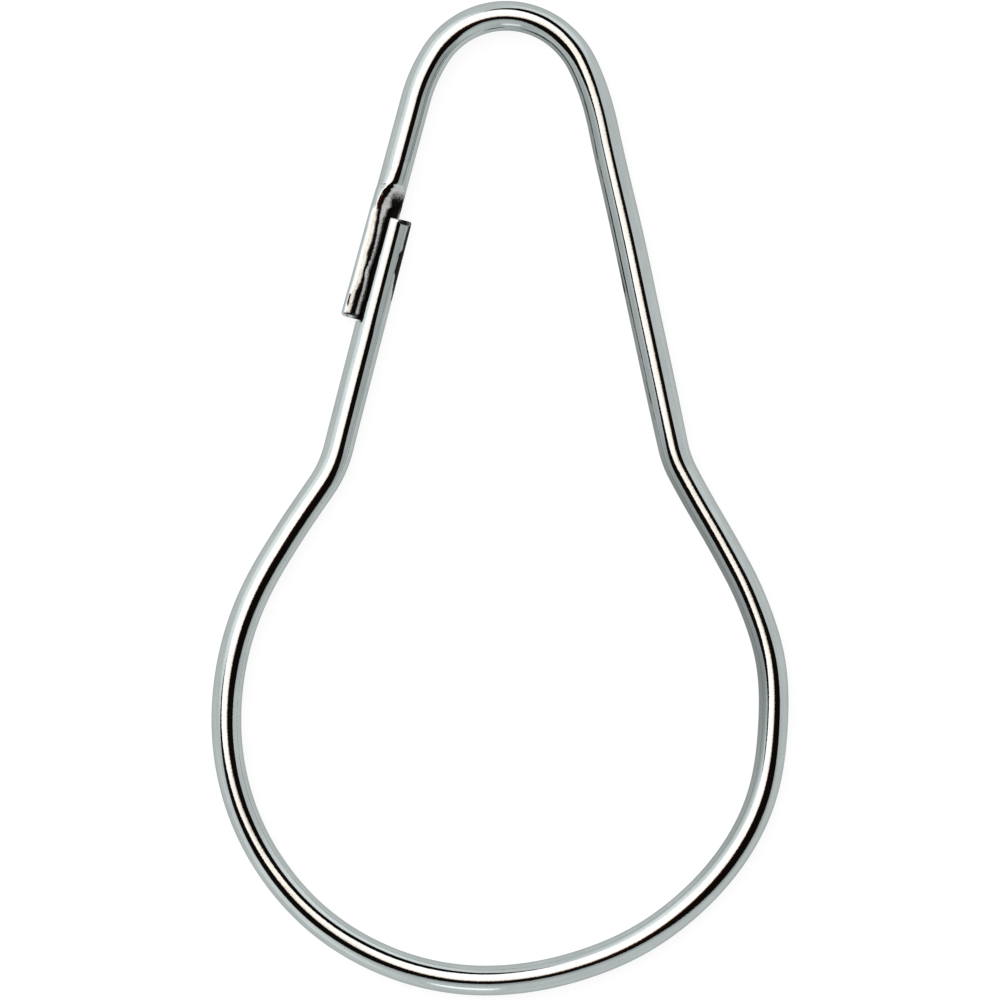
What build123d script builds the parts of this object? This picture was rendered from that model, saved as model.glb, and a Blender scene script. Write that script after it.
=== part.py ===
from build123d import *
from math import radians, tan
import os

# Shower curtain ring: one length of plated steel wire, bent to a pear shape and snapped shut on itself.
# It lies flat in the XY plane. The origin is the middle of the round loop, which hangs on the rod, and the
# narrow eye, which goes through the curtain, points along +Y. Sizes are in millimetres and degrees, and the
# bends are given to the middle of the wire.

WIRE_D = 2.5

# Round loop. It is bent by hand on a jig, so its bottom and its sides have radii of their own.
LOOP_DEPTH = 22.8
LOOP_BOTTOM_SHIFT = -1.2
LOOP_BOTTOM_R = 25.7
LOOP_LOWER_RIGHT_R = 20.1
LOOP_RIGHT_R = 24.3
LOOP_LEFT_R = 21.6
LOOP_UPPER_LEFT_R = 24.7
BOTTOM_TURN = 43.8
LOWER_RIGHT_TURN = 36.2
LEFT_TURN = 87.8

# Straight flanks from the loop to the corner of each shoulder. A lean is measured from +Y.
RIGHT_FLANK_LEAN = 28.9
RIGHT_FLANK_LEN = 10.6
RIGHT_SHOULDER_R = 8.5
LEFT_FLANK_LEAN = 33.3
LEFT_FLANK_LEN = 8.9
LEFT_SHOULDER_R = 10.6

# Narrow eye at the top, with a wider bend on each side of it.
EYE_REACH = 57.6
EYE_SHIFT = 0.5
EYE_R = 6.95
EYE_RIGHT_R = 25.9
EYE_LEFT_R = 13.8
EYE_TURN_RIGHT = 64.2
EYE_TURN_LEFT = 57.6

# Legs, straight from the eye to the shoulders. The left one is in two lengths that lap: the catch comes down
# from the eye and points just outside the left shoulder, and the tip comes up from that shoulder inside it.
CATCH_LEN = 18.7
CATCH_AIM = 1.45
LAP_LEN = 9.05
LAP_OFFSET = 1.15
LAP_GAP = 0.12

# Seat pressed into the catch: a ledge at half the wire, a leaning wall beside it and a curved shoulder above.
SEAT_WALL = 0.35
SEAT_WALL_LEAN = 28.0
SEAT_LEN = 10.4
SEAT_SHOULDER_LEAN = 41.0
SEAT_SHOULDER_R = 1.0
SEAT_CREST_R = 0.45

# Lead-in at the end of the catch, where the foot of the wall is cut back so that the tip finds the seat.
LEAD_IN_WALL = 0.05
LEAD_IN_LEN = 5.1
LEAD_IN_RUNOUT = 0.5

# Flat that the clamp of the forming tool left on the inner side of the tip.
CLAMP_DEPTH = 0.06
CLAMP_LEN = 4.5
CLAMP_RUNOUT = 2.5

# Both cut ends of the wire are tumbled to take the burr off.
END_BREAK = 0.12

wire_r = WIRE_D / 2
loop_bottom = Vector(LOOP_BOTTOM_SHIFT, -LOOP_DEPTH)
eye_top = Vector(EYE_SHIFT, EYE_REACH)
eye_centre = eye_top - Vector(0, EYE_R)


def leg_line(eye_bend, side_r, aim, pick):
    """Line to the point aim from where it touches the wider bend that carries on from one end of the eye."""
    inward = (eye_centre - eye_bend @ 1).normalized()
    side_bend = CenterArc(eye_bend @ 1 + inward * side_r, side_r, 0, 360, mode=Mode.PRIVATE)
    return ConstrainedLines(
        side_bend,
        aim,
        selector=lambda lines: lines.sort_by(Axis.X)[pick],
        mode=Mode.PRIVATE,
    ).edge()


# Middle of the wire up the left side of the loop, as far as the shoulder.
with BuildLine() as left_loop:
    left = JernArc(loop_bottom, (-1, 0), LOOP_LEFT_R, -LEFT_TURN)
    upper_left_turn = 90 + LEFT_FLANK_LEAN - LEFT_TURN
    upper_left = JernArc(left @ 1, left % 1, LOOP_UPPER_LEFT_R, -upper_left_turn)
left_shoulder = upper_left @ 1 + (upper_left % 1) * LEFT_FLANK_LEN

# Middle of the wire from the bottom of the loop, up the right side and round the eye to the end of the catch.
with BuildLine() as catch_path:
    bottom = JernArc(loop_bottom, (1, 0), LOOP_BOTTOM_R, BOTTOM_TURN)
    lower_right = JernArc(bottom @ 1, bottom % 1, LOOP_LOWER_RIGHT_R, LOWER_RIGHT_TURN)
    right_turn = 90 + RIGHT_FLANK_LEAN - BOTTOM_TURN - LOWER_RIGHT_TURN
    right = JernArc(lower_right @ 1, lower_right % 1, LOOP_RIGHT_R, right_turn)
    right_shoulder = right @ 1 + (right % 1) * RIGHT_FLANK_LEN
    eye_right = JernArc(eye_top, (1, 0), EYE_R, -EYE_TURN_RIGHT)
    right_leg = leg_line(eye_right, EYE_RIGHT_R, right_shoulder, pick=-1)
    TangentArc(eye_right @ 1, right_leg @ 0, tangent=eye_right % 1)
    FilletPolyline(right_leg @ 0, right_shoulder, right @ 1, radius=RIGHT_SHOULDER_R)
    eye_left = JernArc(eye_top, (-1, 0), EYE_R, EYE_TURN_LEFT)
    catch_leg = leg_line(eye_left, EYE_LEFT_R, left_shoulder - Vector(CATCH_AIM, 0), pick=0)
    TangentArc(eye_left @ 1, catch_leg @ 0, tangent=eye_left % 1)
    catch_end = catch_leg @ 0 + (catch_leg % 0) * CATCH_LEN
    Line(catch_leg @ 0, catch_end)

# Plane of the lap: X across it towards the inside of the ring, Y up the catch from its cut end, Z up.
lap_plane = Plane(catch_end, x_dir=(catch_leg % 0).rotate(Axis.Z, 90), z_dir=(0, 0, 1))
tip_end = lap_plane.from_local_coords(Vector(LAP_OFFSET, LAP_LEN))
tip_rise = (tip_end - left_shoulder).normalized()
tip_plane = Plane(tip_end, x_dir=tip_rise.rotate(Axis.Z, -90), z_dir=(0, 0, 1))

# Middle of the wire from the bottom of the loop, up the left side to the tip.
with BuildLine() as tip_path:
    add(left_loop.line)
    FilletPolyline(upper_left @ 1, left_shoulder, tip_end, radius=LEFT_SHOULDER_R)

# Round section of the wire at the bottom of the loop, where both halves of the ring start.
wire_section = Plane(loop_bottom, x_dir=(0, 0, -1), z_dir=(1, 0, 0))

# Right half of the ring, with the catch.
with BuildPart() as catch_half:
    with BuildSketch(wire_section):
        Circle(wire_r)
    sweep(path=catch_path.wires()[0])

    # The seat is pressed from above into the inner side of the wire, down to the ledge.
    wall_start = (SEAT_WALL, -WIRE_D)
    wall_end = (SEAT_WALL, SEAT_LEN)
    shoulder_run = Vector(0, 2 * WIRE_D).rotate(Axis.Z, -SEAT_SHOULDER_LEAN)
    shoulder_end = (SEAT_WALL + shoulder_run.X, SEAT_LEN + shoulder_run.Y)
    with BuildLine(lap_plane) as wall_foot:
        FilletPolyline(wall_start, wall_end, shoulder_end, radius=SEAT_SHOULDER_R)
    with BuildSketch(lap_plane):
        with BuildLine():
            FilletPolyline(wall_start, wall_end, shoulder_end, radius=SEAT_SHOULDER_R)
            Polyline(shoulder_end, (shoulder_end[0], -WIRE_D), wall_start)
        make_face()
    extrude(amount=WIRE_D, mode=Mode.SUBTRACT)

    # The wall and the shoulder lean back from their foot on the ledge to a rounded crest.
    crest_back = WIRE_D * tan(radians(SEAT_WALL_LEAN))
    foot_point = lap_plane.from_local_coords(Vector(*wall_start))
    with BuildSketch(Plane(foot_point, x_dir=lap_plane.x_dir, z_dir=-lap_plane.y_dir)):
        with BuildLine():
            Polyline((0, 0), (LAP_GAP, 0), (LAP_GAP, WIRE_D), (-crest_back, WIRE_D), close=True)
        make_face()
    sweep(path=wall_foot.wires()[0], mode=Mode.SUBTRACT)
    fillet(catch_half.edges(Select.LAST).filter_by(lambda edge: edge.center().Z > wire_r / 2), SEAT_CREST_R)

    # The lead-in cuts the foot of the wall back, from the end of the catch to a slanted runout.
    with BuildSketch(lap_plane):
        with BuildLine():
            Polyline(
                (SEAT_WALL, -WIRE_D),
                (LEAD_IN_WALL, -WIRE_D),
                (LEAD_IN_WALL, LEAD_IN_LEN),
                (SEAT_WALL, LEAD_IN_LEN + LEAD_IN_RUNOUT),
                close=True,
            )
        make_face()
    extrude(amount=WIRE_D, mode=Mode.SUBTRACT)
    chamfer(catch_half.faces().sort_by_distance(catch_end)[0].edges(), END_BREAK)

# Left half of the ring, with the tip.
with BuildPart() as ring:
    with BuildSketch(wire_section):
        Circle(wire_r)
    sweep(path=tip_path.wires()[0])

    # The tip is flattened beside the wall of the seat, and stepped to lie on the ledge and pass the catch.
    for depth, flat in ((WIRE_D, SEAT_WALL + LAP_GAP), (LAP_GAP, wire_r + LAP_GAP)):
        with BuildSketch(lap_plane.offset(depth)):
            with BuildLine():
                Polyline(
                    (flat, LAP_LEN + WIRE_D),
                    (flat, -LAP_GAP),
                    (flat - 2 * WIRE_D, -LAP_GAP - 2 * WIRE_D),
                    (flat - 2 * WIRE_D, LAP_LEN + WIRE_D),
                    close=True,
                )
            make_face()
        extrude(amount=-2 * WIRE_D, mode=Mode.SUBTRACT)
    chamfer(ring.faces().sort_by(Axis(tip_end, tip_plane.y_dir))[-1].edges(), END_BREAK)

    # The clamp flat runs from the end of the tip and fades out along the leg.
    with BuildSketch(tip_plane):
        with BuildLine():
            Polyline(
                (wire_r - CLAMP_DEPTH, WIRE_D),
                (wire_r - CLAMP_DEPTH, -CLAMP_LEN),
                (wire_r, -CLAMP_LEN - CLAMP_RUNOUT),
                (WIRE_D, -CLAMP_LEN - CLAMP_RUNOUT),
                (WIRE_D, WIRE_D),
                close=True,
            )
        make_face()
    extrude(amount=WIRE_D, both=True, mode=Mode.SUBTRACT)

    add(catch_half.part)

os.makedirs("parts", exist_ok=True)
ring.part.label = "wire_ring"
export_step(ring.part, "parts/wire_ring.step")
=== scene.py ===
"""Looks of a shower curtain ring: bright-plated wire, bent to a pear shape and snapped shut on itself.

Sizes are in millimetres and degrees unless a name says otherwise. The ring lies flat, +Y runs from the round loop to
the narrow eye, and +Z is up. The latch has axes of its own: across points to the inside of the ring, and along points
up the catch from its cut end.
"""

import logging
import math
from dataclasses import dataclass, field
from enum import Enum

import bpy
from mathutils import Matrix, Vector

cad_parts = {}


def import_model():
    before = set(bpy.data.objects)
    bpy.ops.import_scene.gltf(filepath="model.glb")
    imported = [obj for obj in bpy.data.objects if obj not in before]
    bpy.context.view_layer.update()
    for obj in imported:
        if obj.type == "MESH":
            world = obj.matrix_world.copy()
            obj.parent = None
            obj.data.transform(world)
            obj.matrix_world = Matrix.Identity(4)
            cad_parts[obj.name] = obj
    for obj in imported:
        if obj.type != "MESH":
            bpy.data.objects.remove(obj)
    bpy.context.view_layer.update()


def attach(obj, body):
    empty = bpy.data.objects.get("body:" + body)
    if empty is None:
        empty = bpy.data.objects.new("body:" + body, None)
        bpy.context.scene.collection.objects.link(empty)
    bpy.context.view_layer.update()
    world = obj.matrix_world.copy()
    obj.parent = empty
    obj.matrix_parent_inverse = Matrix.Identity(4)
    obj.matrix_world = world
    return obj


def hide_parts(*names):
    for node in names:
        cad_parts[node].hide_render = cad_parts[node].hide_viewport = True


LOG = logging.getLogger("curtain_ring")
MM = 0.001

Socket = bpy.types.NodeSocket
Pair = tuple[float, float]
Triple = tuple[float, float, float]
Colour = Triple
Input = Socket | float | Vector | tuple[float, ...]


def metres(x: float, y: float, z: float = 0.0) -> Vector:
    """A point given in millimetres, in metres."""
    return Vector((x, y, z)) * MM


def level(heading: float) -> Vector:
    """Level direction of a heading in radians."""
    return Vector((math.cos(heading), math.sin(heading), 0.0))


def clamp(value: float) -> float:
    """A value kept between 0 and 1."""
    return min(1.0, max(0.0, value))


def ramp(value: float, start: float, end: float) -> float:
    """How far a value is on its way from start to end, from 0 to 1, in either sense."""
    return clamp((value - start) / (end - start))


def stripe(value: float, place: float, width: float) -> float:
    """1 on a stripe and 0 away from it, with soft sides."""
    return clamp(1.5 - abs(value - place) / width)


def pick(piece: bpy.types.Object) -> None:
    """Selects one piece and nothing else, and makes it the active one.

    Args:
        piece: The piece.
    """
    bpy.ops.object.select_all(action="DESELECT")
    piece.select_set(True)
    bpy.context.view_layer.objects.active = piece


def smooth_min(a: float, b: float, blend: float) -> float:
    """The lower of two heights, rounded over where they cross.

    Args:
        a: First height.
        b: Second height.
        blend: Width of the rounding.

    Returns:
        The rounded lower height.
    """
    near = max(0.0, 1.0 - abs(a - b) / blend)
    return min(a, b) - near * near * blend / 4.0


def smooth_max(a: float, b: float, blend: float) -> float:
    """The higher of two heights, filled in where they cross."""
    return -smooth_min(-a, -b, blend)


class Mark(Enum):
    """Names of the values that the ring's mesh carries for its finish."""

    WIRE = "wire_place"
    PRESSED = "pressed"
    # Painted shade in the crevices of the latch.
    CREVICE_SHADE = "crevice_shade"
    SCAR = "scar"
    # Painted shade on the inner side of the wire.
    INNER_SHADE = "inner_shade"
    CUT = "cut_end"


@dataclass(frozen=True)
class Stretch:
    """One stretch of the wire: a straight run, or a bend when it has a turn. A positive turn goes left."""

    name: str
    length: float = 0.0
    radius: float = 0.0
    turn: float = 0.0
    step: float = 0.6

    def count(self) -> int:
        """Number of sections along the stretch."""
        run = math.radians(abs(self.turn)) * self.radius if self.turn else self.length
        return max(1, round(run / self.step))


@dataclass(frozen=True)
class Sway:
    """A size that changes along the wire, set at a few stations and eased between them."""

    stations: tuple[Pair, ...]

    def at(self, along: float) -> float:
        """The size at a place along the wire.

        Args:
            along: Distance along the wire.

        Returns:
            The eased size.
        """
        places = self.stations
        if along <= places[0][0]:
            return places[0][1]
        for (a, low), (b, high) in zip(places, places[1:]):
            if along <= b:
                share = (along - a) / (b - a)
                return low + (high - low) * share * share * (3.0 - 2.0 * share)
        return places[-1][1]


@dataclass(frozen=True)
class Section:
    """Where one section of the wire sits: its middle, its heading and the length of wire before it."""

    middle: Vector
    heading: float
    run: float

    def inward(self) -> Vector:
        """Level direction from the section to the inside of the ring."""
        return Vector((-math.sin(self.heading), math.cos(self.heading), 0.0))


class Recipe:
    """A node tree that is put together a step at a time."""

    def __init__(self, tree: bpy.types.NodeTree) -> None:
        """Takes the tree to add to."""
        self.nodes = tree.nodes
        self.links = tree.links

    def add(self, kind: str, inputs: dict[str | int, Input], **settings: str) -> bpy.types.Node:
        """Adds a node.

        Args:
            kind: What the node is.
            inputs: What goes into it, by the name or number of the input, as sockets or plain values.
            settings: Its options, which are set first because they decide what inputs it has.

        Returns:
            The new node.
        """
        node = self.nodes.new("ShaderNode" + kind)
        for name, setting in settings.items():
            setattr(node, name, setting)
        for name, value in inputs.items():
            if isinstance(value, Socket):
                self.links.new(value, node.inputs[name])
            else:
                node.inputs[name].default_value = value
        return node

    def calc(self, operation: str, *values: Socket | float) -> Socket:
        """One sum on grey values, given as sockets or plain numbers."""
        return self.add("Math", dict(enumerate(values)), operation=operation).outputs["Value"]

    def spread(self, source: Socket, low: float, high: float, to_low: float, to_high: float) -> Socket:
        """A grey value carried from one range, low to high, to another and kept inside it."""
        limits = {"From Min": low, "From Max": high, "To Min": to_low, "To Max": to_high}
        return self.add("MapRange", {"Value": source, **limits}).outputs["Result"]

    def step(self, source: Socket, start: float, end: float) -> Socket:
        """A soft step of a grey value, in either sense.

        Args:
            source: The grey value.
            start: Where the step is 0.
            end: Where the step is 1.

        Returns:
            The step.
        """
        low, high = min(start, end), max(start, end)
        first, last = (0.0, 1.0) if start < end else (1.0, 0.0)
        result = self.spread(source, low, high, first, last)
        result.node.interpolation_type = "SMOOTHSTEP"
        return result

    def lay(self, share: Socket, under: Socket | Colour, over: Socket | Colour) -> Socket:
        """One colour laid over another, by the share of it that shows."""
        under, over = ((*colour, 1.0) if isinstance(colour, tuple) else colour for colour in (under, over))
        return self.add("Mix", {"Factor": share, "A": under, "B": over}, data_type="RGBA").outputs["Result"]

    def blend(self, share: Socket, under: Socket, over: float) -> Socket:
        """A plain number laid over a grey value."""
        return self.add("Mix", {"Factor": share, "A": under, "B": over}).outputs["Result"]

    def scale(self, source: Socket, factors: Triple) -> Socket:
        """A coordinate scaled on each axis."""
        return self.add("Mapping", {"Vector": source, "Scale": factors}).outputs["Vector"]

    def noise(self, source: Socket, scale: float, detail: float) -> Socket:
        """Noise over a coordinate, as a grey value."""
        return self.add("TexNoise", {"Vector": source, "Scale": scale, "Detail": detail}).outputs["Fac"]

    def mark(self, name: Mark, output: str = "Fac") -> Socket:
        """A value that the mesh carries."""
        return self.add("Attribute", {}, attribute_name=name.value).outputs[output]

    def bump(self, height: Socket, depth: float, under: Socket | None = None) -> Socket:
        """Relief of a depth in millimetres, on top of another relief if there is one."""
        base = {} if under is None else {"Normal": under}
        return self.add("Bump", {"Distance": depth * MM, "Height": height, **base}).outputs["Normal"]

    def toward(self, look: Socket, direction: Vector) -> Socket:
        """How far a view direction points along another direction."""
        return self.add("VectorMath", {0: look, 1: direction}, operation="DOT_PRODUCT").outputs["Value"]

    def curve(self, source: Socket, stations: tuple[Pair, ...]) -> Socket:
        """A grey value looked up on a smooth curve.

        Args:
            source: The grey value.
            stations: Points of the curve, as shares of 1.

        Returns:
            The value on the curve.
        """
        node = self.add("FloatCurve", {"Value": source})
        points = node.mapping.curves[0].points
        points[0].location = stations[0]
        points[-1].location = stations[-1]
        for station in stations[1:-1]:
            points.new(*station)
        for point in points:
            point.handle_type = "AUTO_CLAMPED"
        node.mapping.update()
        return node.outputs["Value"]


@dataclass(frozen=True)
class BrightPlating:
    """Bright nickel and chromium plating over drawn steel wire."""

    name: str = "bright_plating"
    light_tone: Colour = (0.450, 0.498, 0.494)
    dark_tone: Colour = (0.405, 0.452, 0.449)
    edge_tint: Colour = (0.62, 0.65, 0.65)
    # Darker tone painted on the inner side of the wire, where its reflections are shaded.
    inner_shade_tone: Colour = (0.210, 0.235, 0.234)
    pressed_tone: Colour = (0.56, 0.56, 0.54)
    # Near-black painted shade for the crevices of the latch.
    crevice_shade_tone: Colour = (0.012, 0.010, 0.009)
    scar_tone: Colour = (0.016, 0.013, 0.011)
    cut_tone: Colour = (0.34, 0.35, 0.34)
    gloss_roughness: float = 0.02
    cloud_roughness: float = 0.02
    inner_shade_roughness: float = 0.12
    pressed_roughness: float = 0.13
    cut_roughness: float = 0.3
    crevice_shade_roughness: float = 0.6
    # Sizes of the patterns: clouds, grain and specks by their place, the others along the drawn wire.
    cloud_scale: float = 420.0
    grain_scale: float = 5200.0
    speck_scale: float = 9000.0
    drawn_stretch: Triple = (1.0, 1.0, 0.03)
    drawn_scale: float = 5.5
    chatter_stretch: Triple = (1.0, 1.0, 1.4)
    chatter_scale: float = 5.0
    fray_stretch: Triple = (4.5, 4.5, 0.26)
    fray_scale: float = 2.6
    # The part of each pattern's range that is used.
    noise_range: Pair = (0.3, 0.7)
    gloss_range: Pair = (0.35, 0.7)
    scar_range: Pair = (0.42, 0.58)
    crevice_shade_range: Pair = (0.1, 0.85)
    # How far the patterns fray a scar's edge, speckle the painted crevice shade and streak the tone.
    fray: float = 0.35
    speckle: float = 0.2
    streak: float = 0.2
    # Depths of the relief, in millimetres.
    drawn_depth: float = 0.0012
    cloud_depth: float = 0.004
    grain_depth: float = 0.0025
    chatter_depth: float = 0.02

    def material(self) -> bpy.types.Material:
        """Builds the plating as a node material.

        Returns:
            The new material.
        """
        material = bpy.data.materials.new(self.name)
        material.use_nodes = True
        tree = Recipe(material.node_tree)
        shader = tree.nodes["Principled BSDF"]
        shader.inputs["Metallic"].default_value = 1.0
        shader.inputs["Specular Tint"].default_value = (*self.edge_tint, 1.0)

        place = tree.add("TexCoord", {}).outputs["Object"]
        wire = tree.mark(Mark.WIRE, "Vector")
        clouds = tree.noise(place, self.cloud_scale, 3.0)
        grain = tree.noise(place, self.grain_scale, 2.0)
        drawn = tree.noise(tree.scale(wire, self.drawn_stretch), self.drawn_scale, 2.0)
        chatter = tree.noise(tree.scale(wire, self.chatter_stretch), self.chatter_scale, 2.0)
        ragged = tree.noise(tree.scale(wire, self.fray_stretch), self.fray_scale, 3.0)
        pressed = tree.mark(Mark.PRESSED)
        cut = tree.mark(Mark.CUT)
        inner_shade = tree.mark(Mark.INNER_SHADE)
        fray = tree.spread(ragged, *self.noise_range, -self.fray, self.fray)
        scar = tree.spread(tree.calc("ADD", tree.mark(Mark.SCAR), fray), *self.scar_range, 0.0, 1.0)
        speck = tree.noise(place, self.speck_scale, 1.0)
        speck = tree.spread(speck, *self.noise_range, -self.speckle, self.speckle)
        # Painted shade in the crevices, speckled at its edge.
        crevice_shade = tree.spread(tree.calc("ADD", tree.mark(Mark.CREVICE_SHADE), speck), *self.crevice_shade_range, 0.0, 1.0)

        streaks = tree.calc("ADD", clouds, tree.spread(drawn, *self.noise_range, -self.streak, self.streak))
        colour = tree.lay(tree.spread(streaks, *self.noise_range, 0.0, 1.0), self.dark_tone, self.light_tone)
        # Painted shade on the inner side of the wire.
        colour = tree.lay(inner_shade, colour, self.inner_shade_tone)
        colour = tree.lay(pressed, colour, self.pressed_tone)
        colour = tree.lay(cut, colour, self.cut_tone)
        colour = tree.lay(crevice_shade, colour, self.crevice_shade_tone)
        colour = tree.lay(scar, colour, self.scar_tone)
        tree.links.new(colour, shader.inputs["Base Color"])

        cloudy = self.gloss_roughness + self.cloud_roughness
        gloss = tree.spread(clouds, *self.gloss_range, self.gloss_roughness, cloudy)
        gloss = tree.blend(inner_shade, gloss, self.inner_shade_roughness)
        gloss = tree.blend(pressed, gloss, self.pressed_roughness)
        gloss = tree.blend(cut, gloss, self.cut_roughness)
        gloss = tree.blend(tree.calc("MAXIMUM", crevice_shade, scar), gloss, self.crevice_shade_roughness)
        tree.links.new(gloss, shader.inputs["Roughness"])

        relief = tree.bump(drawn, self.drawn_depth)
        relief = tree.bump(clouds, self.cloud_depth, relief)
        relief = tree.bump(grain, self.grain_depth, relief)
        worked = tree.calc("MAXIMUM", pressed, cut)
        relief = tree.bump(tree.calc("MULTIPLY", chatter, worked), self.chatter_depth, relief)
        tree.links.new(relief, shader.inputs["Normal"])
        return material


@dataclass(frozen=True)
class WhiteBench:
    """Finish of the bench under the ring: plain white card, which still takes the ring's faint shadow."""

    name: str = "white_card"
    card: float = 0.82
    glow: float = 0.86
    shade: float = 0.20

    def material(self) -> bpy.types.Material:
        """Builds the card as a node material.

        Returns:
            The new material.
        """
        material = bpy.data.materials.new(self.name)
        material.use_nodes = True
        tree = Recipe(material.node_tree)
        tree.nodes.remove(tree.nodes["Principled BSDF"])
        card = tree.add("BsdfDiffuse", {"Color": (self.card, self.card, self.card, 1.0)})
        shaded = tree.add("BsdfDiffuse", {"Color": (self.shade, self.shade, self.shade, 1.0)})
        glow = tree.add("Emission", {"Strength": self.glow})
        seen = tree.add("AddShader", {0: shaded.outputs["BSDF"], 1: glow.outputs["Emission"]})
        path = tree.add("LightPath", {}).outputs
        mirrored = tree.calc("MAXIMUM", path["Is Glossy Ray"], path["Is Transmission Ray"])
        ray = tree.calc("MAXIMUM", path["Is Camera Ray"], mirrored)
        mix = tree.add("MixShader", {"Fac": ray, 1: card.outputs["BSDF"], 2: seen.outputs["Shader"]})
        tree.links.new(mix.outputs["Shader"], tree.nodes["Material Output"].inputs["Surface"])
        return material


@dataclass
class Bench:
    """The wide pale surface that the ring lies on."""

    width: float = 12000.0
    height: float = -1.25
    finish: WhiteBench = field(default_factory=WhiteBench)

    def build(self) -> bpy.types.Object:
        """Lays the bench down.

        Returns:
            The bench.
        """
        bpy.ops.object.select_all(action="DESELECT")
        bpy.ops.mesh.primitive_plane_add(size=self.width * MM, location=metres(0.0, 0.0, self.height))
        bench = bpy.context.active_object
        bench.name = "bench"
        bench.data.materials.append(self.finish.material())
        return bench


@dataclass(frozen=True)
class LightTent:
    """A pale tent with one round softbox overhead, set off by a black cloth with a wavy edge.

    The softbox is measured on a ceiling one unit above the ring. Its straight cut has a warm lining and piping along
    one stretch. The cloth's edge is given as stations round the compass: a bearing from +X towards +Y, and the angle
    from straight up at which the cloth ends there. A soft step is given as where it starts and where it is full, and a
    glow on the wall as its bearing, its angle from straight up and how much brighter it is.
    """

    wall: Colour = (1.0, 1.0, 1.0)
    cloth: Colour = (0.009, 0.006, 0.005)
    box: Colour = (2.45, 2.22, 2.22)
    box_rim: Colour = (2.36, 2.00, 1.80)
    rim_reach: float = 0.32
    lining: Colour = (0.060, 0.013, 0.004)
    lining_reach: float = 0.28
    lining_end: Pair = (0.10, 0.05)
    piping: Colour = (0.55, 0.21, 0.11)
    piping_reach: float = 0.14
    warm_start: Pair = (-0.6, -0.2)
    warm_end: Pair = (0.5, 0.28)
    box_centre: Pair = (-0.30, 0.50)
    box_radius: float = 0.67
    box_softness: float = 0.02
    least_lift: float = 0.02
    box_cut_turn: float = 35.0
    box_cut: float = -0.05
    cut_softness: float = 0.05
    cloth_edge: tuple[Pair, ...] = (
        (0.0, 51.0), (22.0, 49.0), (45.0, 54.0), (76.0, 66.0), (90.0, 62.0), (103.0, 53.0), (114.0, 40.0),
        (161.0, 40.0), (173.0, 46.5), (182.0, 49.0), (208.0, 56.5), (240.0, 45.0), (278.0, 27.0),
        (300.0, 35.0), (328.0, 60.0), (360.0, 51.0),
    )
    cloth_softness: float = 0.02
    haze: float = 0.34
    haze_reach: float = 24.0
    haze_north: Pair = (0.05, -0.3)
    haze_east: Pair = (-0.5, -0.1)
    glows: tuple[Triple, ...] = ((142.0, 52.0, 0.62), (60.0, 70.0, 0.45), (222.0, 84.0, 0.34))
    glow_reach: float = 38.0
    glow_core: float = 4.0
    panel_polar: float = 71.0
    panel_turn: float = -94.5
    panel_size: Pair = (0.115, 0.14)
    panel_softness: Pair = (0.03, 0.05)
    panel_facing: Pair = (0.5, 0.6)
    panel: float = 2.1

    @staticmethod
    def heading(bearing: float, polar: float) -> Vector:
        """Direction at a bearing and an angle from straight up."""
        turn, tilt = math.radians(bearing), math.radians(polar)
        return Vector((math.cos(turn) * math.sin(tilt), math.sin(turn) * math.sin(tilt), math.cos(tilt)))

    def build(self) -> None:
        """Makes the tent the world of the scene."""
        world = bpy.data.worlds.new("light_tent")
        bpy.context.scene.world = world
        world.use_nodes = True
        tree = Recipe(world.node_tree)
        look = tree.add("TexCoord", {}).outputs["Generated"]
        east = tree.toward(look, Vector((1.0, 0.0, 0.0)))
        north = tree.toward(look, Vector((0.0, 1.0, 0.0)))
        up = tree.toward(look, Vector((0.0, 0.0, 1.0)))

        bearing = tree.calc("FRACT", tree.calc("DIVIDE", tree.calc("ARCTAN2", north, east), math.tau))
        edge = tree.curve(bearing, tuple((turn / 360.0, polar / 90.0) for turn, polar in self.cloth_edge))
        polar = tree.calc("DIVIDE", tree.calc("ARCCOSINE", up), math.pi / 2.0)
        past = tree.calc("SUBTRACT", polar, edge)

        colour: Socket | Colour = self.wall
        for glow in self.glows:
            colour = tree.lay(self._glow(tree, look, glow), colour, self._brighter(glow))
        hazy = tree.calc("MULTIPLY", tree.step(north, *self.haze_north), tree.step(east, *self.haze_east))
        haze = tree.calc("MULTIPLY", tree.step(past, self.haze_reach / 90.0, 0.0), hazy)
        colour = tree.lay(tree.calc("MULTIPLY", haze, self.haze), colour, self.cloth)
        colour = tree.lay(tree.step(past, self.cloth_softness, -self.cloth_softness), colour, self.cloth)
        colour = self._lay_softbox(tree, colour, east, north, up)
        colour = tree.lay(self._panel(tree, look), colour, (self.panel, self.panel, self.panel))
        tree.links.new(colour, tree.nodes["Background"].inputs["Color"])

    def _brighter(self, glow: Triple) -> Colour:
        """The wall's colour in the middle of a glow."""
        return tuple(part * (1.0 + glow[2]) for part in self.wall)

    def _glow(self, tree: Recipe, look: Socket, glow: Triple) -> Socket:
        """How much of a glow on the wall shows in a direction."""
        facing = tree.toward(look, self.heading(glow[0], glow[1]))
        return tree.step(facing, math.cos(math.radians(self.glow_reach)), math.cos(math.radians(self.glow_core)))

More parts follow.
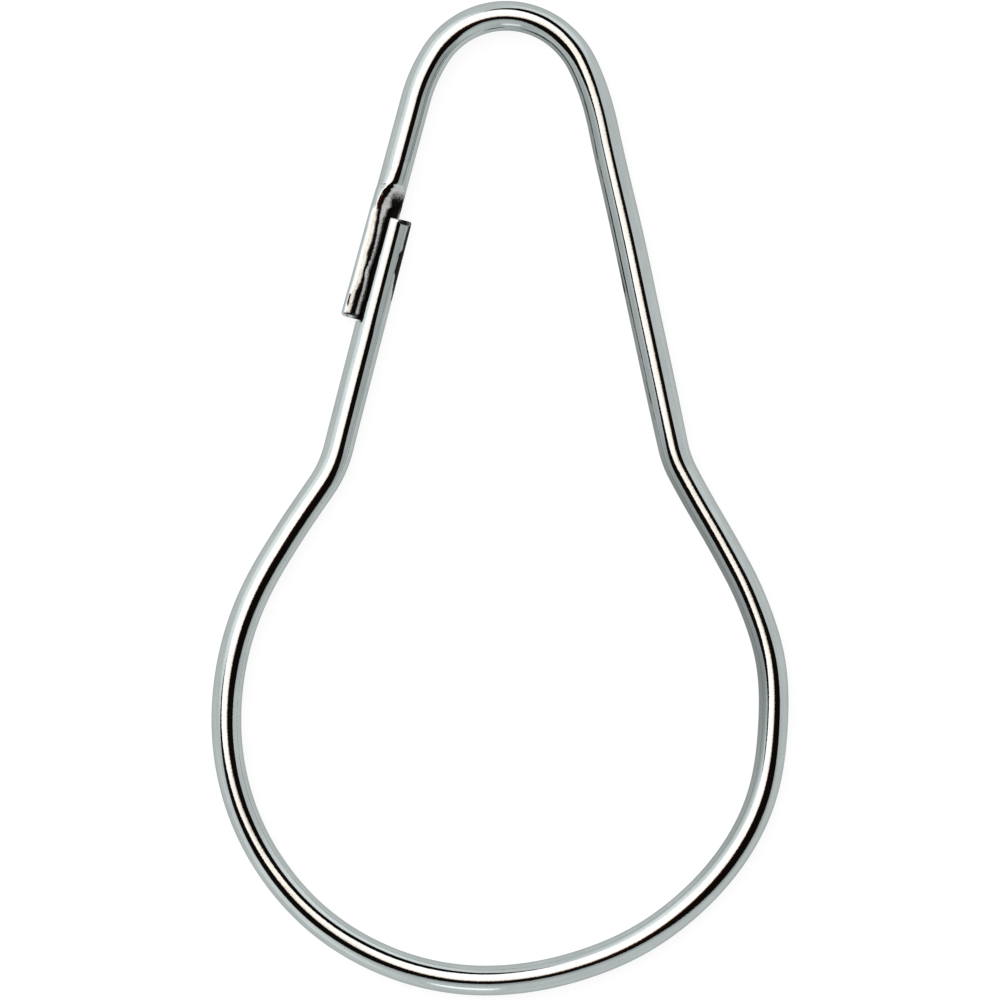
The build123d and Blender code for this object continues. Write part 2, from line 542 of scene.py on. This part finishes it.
    def _lay_softbox(self, tree: Recipe, under: Socket, east: Socket, north: Socket, up: Socket) -> Socket:
        """Hangs the softbox, with its straight cut and the warm edge along that, in front of the tent.

        Args:
            tree: The world's recipe.
            under: Colour of the tent behind it.
            east: How far the view points along +X.
            north: How far the view points along +Y.
            up: How far the view points along +Z.

        Returns:
            The colour with the softbox in it.
        """
        lift = tree.calc("MAXIMUM", up, self.least_lift)
        u = tree.calc("DIVIDE", east, lift)
        v = tree.calc("DIVIDE", north, lift)
        du = tree.calc("SUBTRACT", u, self.box_centre[0])
        dv = tree.calc("SUBTRACT", v, self.box_centre[1])
        reach = tree.calc("SQRT", tree.calc("ADD", tree.calc("MULTIPLY", du, du), tree.calc("MULTIPLY", dv, dv)))
        disc = tree.step(reach, self.box_radius + self.box_softness, self.box_radius - self.box_softness)
        sine, cosine = math.sin(math.radians(self.box_cut_turn)), math.cos(math.radians(self.box_cut_turn))
        ahead = tree.calc("SUBTRACT", tree.calc("MULTIPLY", v, cosine), tree.calc("MULTIPLY", u, sine))
        beside = tree.calc("ADD", tree.calc("MULTIPLY", u, cosine), tree.calc("MULTIPLY", v, sine))
        past_cut = tree.calc("SUBTRACT", ahead, self.box_cut)

        aside = tree.calc("DIVIDE", beside, tree.calc("SUBTRACT", -self.box_cut, past_cut))
        warm = tree.calc("MULTIPLY", tree.step(aside, *self.warm_start), tree.step(aside, *self.warm_end))
        lined = tree.calc("MULTIPLY", warm, tree.step(past_cut, -self.lining_reach, 0.0))
        lined = tree.calc("MULTIPLY", lined, tree.step(past_cut, *self.lining_end))
        colour = tree.lay(lined, under, self.lining)
        front = tree.lay(tree.step(past_cut, 0.0, self.rim_reach), self.box_rim, self.box)
        piped = tree.calc("MULTIPLY", warm, tree.step(past_cut, self.piping_reach, 0.0))
        front = tree.lay(piped, front, self.piping)
        lit = tree.calc("MULTIPLY", disc, tree.step(past_cut, -self.cut_softness, self.cut_softness))
        return tree.lay(lit, colour, front)

    def _panel(self, tree: Recipe, look: Socket) -> Socket:
        """Where the small low panel shows that lights the near side of the ring.

        Args:
            tree: The world's recipe.
            look: The view direction.

        Returns:
            Its share of the view.
        """
        facing = self.heading(self.panel_turn, self.panel_polar)
        sideways = self.heading(self.panel_turn + 90.0, 90.0)
        wide, tall = self.panel_size
        soft_wide, soft_tall = self.panel_softness
        beside = tree.calc("ABSOLUTE", tree.toward(look, sideways))
        above = tree.calc("ABSOLUTE", tree.toward(look, facing.cross(sideways)))
        across = tree.step(beside, wide + soft_wide, wide - soft_wide)
        inside = tree.calc("MULTIPLY", across, tree.step(above, tall + soft_tall, tall - soft_tall))
        return tree.calc("MULTIPLY", inside, tree.step(tree.toward(look, facing), *self.panel_facing))


@dataclass(frozen=True)
class Viewpoint:
    """The camera, looking straight down on the ring through a very long lens."""

    lens: float = 800.0
    sensor: float = 36.0
    frame_width: float = 1000.0 / 12.0
    middle: Pair = (0.0, 17.25)
    clip_metres: Pair = (0.01, 40.0)

    def place(self) -> bpy.types.Object:
        """Sets the camera up and makes it the scene's own.

        Returns:
            The camera.
        """
        height = self.frame_width * self.lens / self.sensor
        bpy.ops.object.camera_add(location=metres(*self.middle, height), rotation=(0.0, 0.0, 0.0))
        camera = bpy.context.active_object
        camera.data.lens = self.lens
        camera.data.sensor_width = self.sensor
        camera.data.clip_start, camera.data.clip_end = self.clip_metres
        bpy.context.scene.camera = camera
        return camera


@dataclass
class WireRing:
    """The ring: one length of wire, from the end of the tip round the loop and the eye to the end of the catch."""

    wire_d: float = 2.49
    sides: int = 144
    tip_end: Pair = (-8.4433, 40.9577)
    tip_wear: float = 0.28
    tip_heading: float = 255.561
    stretches: tuple[Stretch, ...] = (
        Stretch("tip", length=9.92, step=0.13),
        Stretch("left_leg", length=9.5647),
        Stretch("left_shoulder", radius=10.6, turn=-18.861, step=0.4),
        Stretch("left_flank", length=7.1394),
        Stretch("upper_left", radius=24.7, turn=35.5),
        Stretch("left", radius=21.6, turn=87.8),
        Stretch("bottom", radius=25.7, turn=43.8),
        Stretch("lower_right", radius=20.1, turn=36.2),
        Stretch("right", radius=24.3, turn=38.9),
        Stretch("right_flank", length=9.3588),
        Stretch("right_shoulder", radius=8.5, turn=-16.616, step=0.4),
        Stretch("right_leg", length=26.7002, step=0.4),
        Stretch("eye_side", radius=25.9, turn=13.516),
        Stretch("eye_right", radius=6.95, turn=64.2, step=0.25),
        Stretch("eye_left", radius=6.95, turn=57.6, step=0.25),
        Stretch("catch_bend", radius=13.8, turn=17.302, step=0.3),
        Stretch("catch_leg", length=4.7),
        Stretch("catch", length=13.92, step=0.1),
    )
    # How far the hand-bent wire strays to the inside of its path, by its run.
    wobble: Sway = Sway((
        (18.0, -0.03), (22.0, -0.01), (27.5, -0.10), (33.0, 0.0), (58.0, 0.0), (64.0, -0.03), (70.0, 0.0),
        (78.0, 0.0), (86.0, 0.035), (93.0, -0.045), (100.0, 0.01), (107.0, -0.06), (114.0, 0.07),
        (120.0, -0.07), (125.0, 0.02), (130.0, -0.02), (135.5, 0.07), (140.0, 0.02), (150.0, 0.0),
        (157.0, -0.035), (165.5, 0.06), (171.5, -0.045), (175.0, 0.01), (180.0, 0.0),
    ))
    # Flats that the straightening rolls left on the wire, by its run: how deep each one is.
    outer_flat: Sway = Sway(((114.0, 0.0), (126.0, 0.013), (137.0, 0.016), (144.0, 0.03), (168.0, 0.036), (174.0, 0.0)))
    inner_flat: Sway = Sway((
        (7.5, 0.044), (11.0, 0.024), (19.0, 0.02), (24.0, 0.0), (138.0, 0.0), (146.0, 0.022), (166.0, 0.03),
        (176.0, 0.0), (184.0, 0.0), (188.0, 0.026),
    ))
    spread_flat: Sway = Sway(((134.0, 0.0), (146.0, 0.06), (154.0, 0.06), (164.0, 0.02), (170.0, 0.0)))
    outer_flat_lean: float = 30.0
    inner_flat_lean: float = -31.0
    # Painted shade: a dark line along the inner side of the wire, standing in for the reflection of the shaded bench
    # inside the ring.
    reflected_shade_line: Sway = Sway((
        (6.0, 0.3), (18.0, 0.25), (21.0, 0.0), (183.0, 0.0), (187.0, 0.9), (198.0, 0.9), (199.5, 0.0),
    ))
    reflected_shade_place: float = 0.64
    reflected_shade_width: float = 0.04
    reflected_shade_foot: float = 0.2
    # Painted shade on the inner side of the wire, where its reflections are darker, by its run, and the share of the
    # radius where it sets in.
    inner_shading: Sway = Sway((
        (94.0, 0.0), (107.0, 0.55), (120.0, 1.0), (136.0, 1.0), (142.0, 0.5), (160.0, 0.45), (172.0, 0.65),
        (178.0, 0.6), (184.0, 0.0),
    ))
    inner_shade_side: Pair = (0.35, 0.55)
    inner_shade_foot: float = -0.5
    # Scars: how strong the one on the right leg is, and how wide the one along the inner edge of the tip is.
    leg_scar: Sway = Sway((
        (140.0, 0.0), (150.0, 0.25), (152.6, 0.4), (153.2, 0.6), (154.4, 0.5), (157.0, 0.36), (164.0, 0.25),
        (174.0, 0.0),
    ))
    scar_side: Pair = (0.84, 0.90)
    scar_foot: Pair = (0.05, 0.15)
    tip_scar: Sway = Sway((
        (0.4, 0.25), (2.6, 0.25), (3.2, 0.40), (4.6, 0.40), (5.2, 0.30), (6.0, 0.22), (6.8, 0.12),
        (7.6, -0.1),
    ))
    tip_scar_blend: float = 0.1
    tip_scar_foot: float = 0.15
    tip_end_scar: float = 0.62
    tip_end_side: float = 0.2
    # Painted shade on the inner edge of the right leg, and the dark line that runs along it.
    edge_shading: Sway = Sway(((134.0, 0.0), (142.0, 0.8), (174.0, 0.8), (182.0, 0.0)))
    edge_line: Sway = Sway((
        (138.0, 0.0), (142.0, 0.46), (150.0, 0.54), (152.6, 0.7), (153.2, 1.0), (159.0, 0.9), (162.0, 0.6),
        (166.0, 0.56), (171.0, 0.72), (177.0, 0.7), (181.0, 0.5), (184.0, 0.0),
    ))
    edge_side: Pair = (0.74, 0.80)
    edge_line_place: float = 0.775
    edge_line_width: float = 0.035
    # Top of the catch, by the way up it: the crest's place and height, and the crown and lean of its outer side.
    crest: Sway = Sway((
        (0.0, -0.86), (1.7, -0.85), (2.4, -0.73), (2.8, -0.64), (4.4, -0.63), (5.3, -0.72), (6.2, -0.64),
        (7.0, -0.65), (8.0, -0.77), (8.8, -0.87), (9.6, -0.91), (10.0, -0.89), (10.4, -0.82), (10.8, -0.71),
        (11.2, -0.46), (11.6, -0.14), (12.0, -0.06), (12.6, 0.0),
    ))
    crest_height: Sway = Sway(((0.0, 1.10), (9.0, 1.10), (10.5, 1.14), (11.8, 1.21), (13.0, 1.245)))
    crown: Sway = Sway(((8.4, 4.0), (9.4, 2.0)))
    outer_lean: Sway = Sway(((8.7, 0.0), (9.4, 37.0), (11.0, 37.0), (11.7, 0.0)))
    bulge: Sway = Sway(((1.5, 0.12), (2.5, 0.095), (9.0, 0.08), (10.4, 0.05), (11.2, 0.0)))
    # Sloped inner side of the catch: where it starts, and where it breaks off to the seat.
    slope_start: Sway = Sway((
        (0.4, -0.27), (2.4, -0.24), (3.2, -0.28), (4.0, -0.40), (4.6, -0.31), (5.2, -0.21), (6.0, -0.20),
        (7.0, -0.24), (8.0, -0.33), (9.0, -0.43), (9.6, -0.50), (10.0, -0.42), (10.4, -0.25), (10.8, -0.09),
        (11.2, 0.10), (11.6, 0.34), (12.0, 0.39), (12.6, 0.41),
    ))
    slope_end: Sway = Sway((
        (0.4, 0.05), (1.2, 0.02), (1.6, 0.15), (2.2, 0.13), (3.2, 0.04), (4.0, -0.05), (4.8, 0.03),
        (5.6, 0.10), (6.8, 0.11), (8.0, 0.07), (9.2, 0.03), (9.6, 0.28), (10.0, 0.16), (10.6, 0.12),
        (11.2, 0.4),
    ))
    slope_lean: float = 34.0
    slope_spare: float = 0.14
    wall_lean: float = 84.0
    pocket_rim: Pair = (-0.03, 10.08)
    pocket_lean: float = 40.0
    pocket_radius: float = 1.5
    pocket_depth: float = 1.2
    pocket_brow: float = 3.0
    # Rounding where the seat, the crest and the wall of the catch meet.
    seat_blend: float = 0.12
    crest_blend: float = 0.03
    wall_blend: float = 0.1
    press_length: float = 13.5
    # Rays that find the top of the catch: where they start, how long they get, and how finely they are searched.
    catch_heart: Pair = (-0.35, -0.35)
    ray_reach: float = 1.5
    ray_steps: int = 50
    ray_halvings: int = 14
    # Marks on the catch: how far sunk and how far up it counts as pressed, where the painted crevice shade lies, the
    # groove that runs up its outer side, and the scarred cut end.
    pressed_sunk: Pair = (0.02, 0.08)
    pressed_end: Pair = (12.2, 10.8)
    crevice_shade_start: Pair = (-0.13, 0.22)
    crevice_shade_end: Pair = (11.2, 10.1)
    groove_place: float = -1.02
    groove_width: float = 0.06
    groove_start: Pair = (0.5, 0.9)
    groove_end: Pair = (2.1, 1.6)
    cut_scar_length: float = 0.25
    cut_scar: Pair = (0.26, 0.36)
    cut_scar_side: Pair = (-0.7, -0.1)
    # Trim of the tip: the flat beside the catch, the step that lies on the ledge, and the gaps between them.
    trim_length: float = 10.6
    tip_heart: Pair = (1.78, 0.5)
    tip_flat: float = 0.54
    tip_step: float = 1.37
    lap_gap: float = 0.12
    end_gap: float = 0.03
    runout: float = 0.06
    catch_spare: float = 0.22
    catch_round: float = 0.3
    tip_round: float = 0.2
    rim_steps: int = 5
    sharp_angle: float = 50.0
    finish: BrightPlating = field(default_factory=BrightPlating)

    def __post_init__(self) -> None:
        """Works out the radius of the wire and starts the list of its sections."""
        self.radius = self.wire_d / 2.0
        self.places: list[Section] = []

    def build(self) -> bpy.types.Object:
        """Models the ring and gives it its finish.

        Returns:
            The finished ring, riding on the frame.
        """
        ring = self._draw()
        self._set_latch_axes()
        names = (Mark.PRESSED, Mark.CREVICE_SHADE, Mark.SCAR, Mark.INNER_SHADE, Mark.CUT)
        marks = {name: [0.0] * len(ring.data.vertices) for name in names}
        self._roll_leg(ring, marks)
        self._press_catch(ring, marks)
        self._trim_tip(ring, marks)
        self._write_marks(ring, marks)
        self._close_end(ring, len(self.places) - 1, 1.0, self.catch_round)
        self._close_end(ring, 0, -1.0, self.tip_round)
        self._smooth(ring)
        ring.data.materials.append(self.finish.material())
        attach(ring, "root")
        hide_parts("wire_ring")
        return ring

    def _draw(self) -> bpy.types.Object:
        """Draws the wire out along its stretches, a section at a time.

        Returns:
            The open tube of wire.
        """
        heading = math.radians(self.tip_heading)
        run = self.tip_wear + self.tip_round
        middle = metres(*self.tip_end) + level(heading) * run * MM
        bpy.ops.object.select_all(action="DESELECT")
        bpy.ops.mesh.primitive_circle_add(
            vertices=self.sides,
            radius=self.radius * MM,
            fill_type="NOTHING",
            location=middle,
            rotation=(math.pi / 2.0, 0.0, heading - math.pi / 2.0),
        )
        ring = bpy.context.active_object
        ring.name = "plated_ring"
        bpy.ops.object.transform_apply(location=True, rotation=True, scale=True)
        bpy.ops.object.mode_set(mode="EDIT")
        bpy.ops.mesh.select_all(action="SELECT")
        self.places.append(Section(middle.copy(), heading, run))
        for stretch in self.stretches:
            count = stretch.count()
            LOG.debug("%s: %d sections", stretch.name, count)
            if stretch.turn:
                side = math.copysign(1.0, stretch.turn)
                left = Vector((-math.sin(heading), math.cos(heading), 0.0))
                centre = middle + left * side * stretch.radius * MM
                turn = math.radians(stretch.turn)
                bpy.ops.mesh.spin(steps=count, angle=-turn, center=centre, axis=(0.0, 0.0, 1.0))
                for index in range(1, count + 1):
                    bearing = heading + turn * index / count
                    outward = Vector((math.sin(bearing), -math.cos(bearing), 0.0))
                    middle = centre + outward * side * stretch.radius * MM
                    run += abs(turn) * stretch.radius / count
                    self.places.append(Section(middle.copy(), bearing, run))
                heading += turn
            else:
                move = level(heading) * (stretch.length * MM / count)
                for _ in range(count):
                    bpy.ops.mesh.extrude_region_move(TRANSFORM_OT_translate={"value": move})
                    middle = middle + move
                    run += stretch.length / count
                    self.places.append(Section(middle.copy(), heading, run))
        bpy.ops.object.mode_set(mode="OBJECT")
        LOG.info("wire drawn: %d sections, %.1f mm long", len(self.places), run)
        return ring

    def _set_latch_axes(self) -> None:
        """Takes the latch's axes from the last section, before the rounding of the catch's cut end is added to it."""
        last = self.places[-1]
        self.along = -level(last.heading)
        self.catch_end = last.middle + self.along * (self.catch_spare - self.catch_round) * MM
        self.across = Vector((self.along.y, -self.along.x, 0.0))

    def _in_latch(self, point: Vector) -> Vector:
        """Place of a point across the latch and up from its middle plane."""
        return Vector(((point - self.catch_end).dot(self.across) / MM, point.z / MM))

    def _shifted(self, point: Vector, shift: Vector) -> Vector:
        """A point moved across the latch and up."""
        return point + self.across * (shift.x * MM) + Vector((0.0, 0.0, shift.y * MM))

    def _roll_leg(self, ring: bpy.types.Object, marks: dict[Mark, list[float]]) -> None:
        """Lets the wire stray from its path, rolls the flats into it, and marks the painted shade on its inner side,
        the dark lines and the scar.

        Args:
            ring: The tube of wire.
            marks: Values for the finish, by point.
        """
        points = ring.data.vertices
        for place, section in enumerate(self.places):
            inward = section.inward()
            wider = 1.0 + self.spread_flat.at(section.run)
            inner_shade = self.inner_shading.at(section.run)
            scar = self.leg_scar.at(section.run)
            line = self.reflected_shade_line.at(section.run)
            edge = self.edge_shading.at(section.run)
            edge_line = self.edge_line.at(section.run)
            middle = section.middle + inward * (self.wobble.at(section.run) * MM)
            flats = (
                (self.outer_flat_lean, self.outer_flat.at(section.run)),
                (self.inner_flat_lean, self.inner_flat.at(section.run)),
            )
            for index in range(place * self.sides, (place + 1) * self.sides):
                offset = points[index].co - section.middle
                spot = Vector((-offset.dot(inward) / MM, offset.z / MM))
                side = -spot.x / self.radius
                # Painted shade on the inner side and the painted dark line along it.
                edge_share = max(inner_shade * ramp(side, *self.inner_shade_side), edge * ramp(side, *self.edge_side))
                # Painted dark line: the shaded bench reflected in the inner side.
                line_share = line * stripe(side, self.reflected_shade_place, self.reflected_shade_width)
                line_share *= ramp(spot.y, 0.0, self.reflected_shade_foot)
                marks[Mark.INNER_SHADE][index] = max(edge_share * ramp(spot.y, self.inner_shade_foot, 0.0), line_share)
                dark_share = edge_line * stripe(side, self.edge_line_place, self.edge_line_width)
                scar_share = max(scar * ramp(side, *self.scar_side), dark_share)
                marks[Mark.SCAR][index] = scar_share * ramp(spot.y, *self.scar_foot)
                for lean, depth in flats:
                    if depth > 0.0:
                        facing = Vector((math.sin(math.radians(lean)), math.cos(math.radians(lean))))
                        spot -= facing * max(0.0, spot.dot(facing) - self.radius + depth)
                spot.x *= wider
                points[index].co = middle - inward * (spot.x * MM) + Vector((0.0, 0.0, spot.y * MM))

    def _dome(self, across: float, along: float) -> float:
        """Height of the crowned top of the catch, before the seat is pressed into it.

        Args:
            across: Place across the latch.
            along: Distance up the catch.

        Returns:
            The height.
        """
        crest = self.crest.at(along)
        height = self.crest_height.at(along)
        if across >= crest:
            share = min(1.0, (across - crest) / (self.radius - crest))
            return height * math.sqrt(1.0 - share * share)
        power = self.crown.at(along)
        share = min(1.0, (crest - across) / (self.radius + self.bulge.at(along) + crest))
        crown = height * (1.0 - share**power) ** (1.0 / power)
        return min(crown, height - math.tan(math.radians(self.outer_lean.at(along))) * (crest - across))

    def _into_pocket(self, across: float, along: float) -> float:
        """How far a place lies inside the rim of the pocket."""
        lean = math.radians(self.pocket_lean)
        return (across - self.pocket_rim[0]) * math.cos(lean) - (along - self.pocket_rim[1]) * math.sin(lean)

    def _pocket(self, across: float, along: float) -> float:
        """Height of the ledge and of the scooped pocket that closes it at the top.

        Args:
            across: Place across the latch.
            along: Distance up the catch.

        Returns:
            The height.
        """
        into = self._into_pocket(across, along)
        radius = self.pocket_radius
        flat = math.sqrt(radius**2 - (radius - self.pocket_depth) ** 2)
        if into <= 0.0:
            return self.pocket_depth - into * self.pocket_brow
        if into >= flat:
            return 0.0
        return radius - math.sqrt(radius**2 - (flat - into) ** 2)

    def _slope(self, across: float, along: float) -> float:
        """Height of the sloped inner side of the catch, which starts below its crest."""
        start = self.slope_start.at(along)
        return self._dome(start, along) - math.tan(math.radians(self.slope_lean)) * (across - start)

    def _catch_top(self, across: float, along: float) -> float:
        """Height of the finished top of the catch.

        Args:
            across: Place across the latch.
            along: Distance up the catch.

        Returns:
            The height.
        """
        slope = self._slope(across, along)
        edge = self.slope_end.at(along) + self.slope_spare
        wall = slope - math.tan(math.radians(self.wall_lean)) * (across - edge)
        seat = smooth_max(wall, self._pocket(across, along), self.seat_blend)
        top = smooth_min(self._dome(across, along), slope, self.crest_blend)
        return smooth_min(top, seat, self.wall_blend)

    def _press_catch(self, ring: bpy.types.Object, marks: dict[Mark, list[float]]) -> None:
        """Presses the seat into the catch by moving the upper points of its sections towards its heart.

        Args:
            ring: The tube of wire.
            marks: Values for the finish, by point.
        """
        points = ring.data.vertices
        heart = Vector(self.catch_heart)
        first = self.places[-1].run - self.press_length
        for place, section in enumerate(self.places):
            if section.run < first:
                continue
            along = (section.middle - self.catch_end).dot(self.along) / MM
            for index in range(place * self.sides, (place + 1) * self.sides):
                point = points[index].co
                flat = self._in_latch(point)
                spot = flat.copy()
                if spot.x < 0.0:
                    spot.x *= 1.0 + self.bulge.at(along) / self.radius
                if spot.y > 0.0:
                    spot = self._drop(heart, spot - heart, along)
                    sunk = self._dome(spot.x, along) - spot.y
                    marks[Mark.PRESSED][index] = ramp(sunk, *self.pressed_sunk) * ramp(along, *self.pressed_end)
                    # Painted shade on the wall below the slope and on the ledge beside the tip.
                    below = ramp(spot.x - self.slope_end.at(along), *self.crevice_shade_start)
                    marks[Mark.CREVICE_SHADE][index] = below * ramp(along, *self.crevice_shade_end)
                    groove = stripe(spot.x, self.groove_place, self.groove_width)
                    groove *= ramp(along, *self.groove_start) * ramp(along, *self.groove_end)
                    marks[Mark.SCAR][index] = groove
                    if along < self.cut_scar_length:
                        least, more = self.cut_scar
                        marks[Mark.SCAR][index] = least + more * ramp(spot.x, *self.cut_scar_side)
                points[index].co = self._shifted(point, spot - flat)

    def _drop(self, heart: Vector, ray: Vector, along: float) -> Vector:
        """Finds where a ray from the heart of the catch leaves its finished top.

        Args:
            heart: Start of the ray, across and up.
            ray: The ray, as long as the way to the round wire.
            along: Distance up the catch.

        Returns:
            The place on the top.
        """
        low, high = 0.0, self.ray_reach
        for step in range(1, int(self.ray_reach * self.ray_steps)):
            share = step / self.ray_steps
            spot = heart + ray * share
            if spot.y > self._catch_top(spot.x, along):
                high = share
                break
            low = share
        for _ in range(self.ray_halvings):
            share = (low + high) / 2.0
            spot = heart + ray * share
            if spot.y > self._catch_top(spot.x, along):
                high = share
            else:
                low = share
        return heart + ray * low

    def _trim_tip(self, ring: bpy.types.Object, marks: dict[Mark, list[float]]) -> None:
        """Trims the tip beside the catch, and marks the scar that the clamp left on its inner side.

        Args:
            ring: The tube of wire.
            marks: Values for the finish, by point.
        """
        points = ring.data.vertices
        heart = Vector(self.tip_heart)
        for place, section in enumerate(self.places):
            if section.run > self.trim_length:
                break
            middle = self._in_latch(section.middle).x
            edge = self.radius - self.tip_scar.at(section.run)
            for index in range(place * self.sides, (place + 1) * self.sides):
                point = points[index].co
                flat = self._in_latch(point)
                along = (point - self.catch_end).dot(self.along) / MM
                inner = flat.x - middle
                scar = ramp(inner, edge - self.tip_scar_blend, edge + self.tip_scar_blend)
                marks[Mark.SCAR][index] = scar * ramp(flat.y, 0.0, self.tip_scar_foot)
                if place < 2 and inner > self.tip_end_side:
                    marks[Mark.SCAR][index] = self.tip_end_scar
                back = max(0.0, -self.catch_spare - self.end_gap - along) / self.runout
                side = self.tip_flat - back
                step = self.tip_step - back
                ray = flat - heart
                share = 1.0
                if flat.x < side:
                    share = min(share, (side - heart.x) / ray.x)
                spot = heart + ray * share
                if spot.x < step and spot.y < self.lap_gap:
                    enter = max((step - heart.x) / ray.x, (self.lap_gap - heart.y) / ray.y)
                    share = min(share, enter)
                spot = heart + ray * share
                # The trimmed faces of the tip, in the crevice beside the catch, get painted shade.
                if share < 0.999:
                    marks[Mark.CREVICE_SHADE][index] = 1.0
                points[index].co = self._shifted(point, spot - flat)

    def _write_marks(self, ring: bpy.types.Object, marks: dict[Mark, list[float]]) -> None:
        """Stores on the mesh what its finish reads: the place on the wire, and the marks.

        Args:
            ring: The tube of wire.
            marks: Values for the finish, by point.
        """
        for name, values in marks.items():
            attribute = ring.data.attributes.new(name.value, "FLOAT", "POINT")
            attribute.data.foreach_set("value", values)
        wire: list[float] = []
        for section in self.places:
            for side in range(self.sides):
                angle = 2.0 * math.pi * side / self.sides
                wire.extend((math.sin(angle) * self.radius, math.cos(angle) * self.radius, section.run))
        attribute = ring.data.attributes.new(Mark.WIRE.value, "FLOAT_VECTOR", "POINT")
        attribute.data.foreach_set("vector", wire)

    def _close_end(self, ring: bpy.types.Object, place: int, sense: float, rounding: float) -> None:
        """Rounds one cut end of the wire over and fills it.

        Args:
            ring: The tube of wire.
            place: Which section is the end.
            sense: 1 where the wire's heading leaves the end, -1 where it enters it.
            rounding: Radius of the rounded rim.
        """
        section = self.places[place]
        outward = level(section.heading) * sense
        first = place * self.sides
        rim = [ring.data.vertices[index].co.copy() for index in range(first, first + self.sides)]
        middle = sum(rim, Vector()) / len(rim)
        pick(ring)
        bpy.ops.object.mode_set(mode="EDIT")
        bpy.ops.mesh.select_mode(type="VERT")
        bpy.ops.mesh.select_all(action="DESELECT")
        bpy.ops.object.mode_set(mode="OBJECT")
        for index in range(first, first + self.sides):
            ring.data.vertices[index].select = True
        bpy.ops.object.mode_set(mode="EDIT")
        bpy.ops.mesh.select_mode(type="EDGE")
        advance, shrink = 0.0, 1.0
        for step in range(1, self.rim_steps + 1):
            angle = math.radians(90.0 * step / self.rim_steps)
            ahead = math.sin(angle) * rounding
            size = 1.0 - (1.0 - math.cos(angle)) * rounding / self.radius
            bpy.ops.mesh.extrude_region_move(TRANSFORM_OT_translate={"value": outward * (ahead - advance) * MM})
            factor = size / shrink
            bpy.ops.transform.resize(value=(factor, factor, factor), center_override=middle + outward * ahead * MM)
            advance, shrink = ahead, size
        bpy.ops.mesh.edge_face_add()
        bpy.ops.object.mode_set(mode="OBJECT")
        cut = ring.data.attributes[Mark.CUT.value].data
        for vertex in ring.data.vertices[len(self.places) * self.sides :]:
            if vertex.select:
                cut[vertex.index].value = 1.0

    def _smooth(self, ring: bpy.types.Object) -> None:
        """Turns the faces outwards and shades the ring smooth but for its sharp edges.

        Args:
            ring: The closed ring.
        """
        pick(ring)
        bpy.ops.object.mode_set(mode="EDIT")
        bpy.ops.mesh.select_all(action="SELECT")
        bpy.ops.mesh.normals_make_consistent(inside=False)
        bpy.ops.object.mode_set(mode="OBJECT")
        bpy.ops.object.shade_smooth_by_angle(angle=math.radians(self.sharp_angle))


def main() -> None:
    """Builds the ring and its setting, and reports each piece."""
    logging.basicConfig(level=logging.INFO, format="%(name)s: %(message)s")
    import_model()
    scene = bpy.context.scene
    scene.view_settings.view_transform = "Standard"
    Viewpoint().place()
    LightTent().build()
    bench = Bench().build()
    LOG.info("built %s", bench.name)
    ring = WireRing().build()
    LOG.info("built %s: %d faces", ring.name, len(ring.data.polygons))


if __name__ == "__main__":
    main()
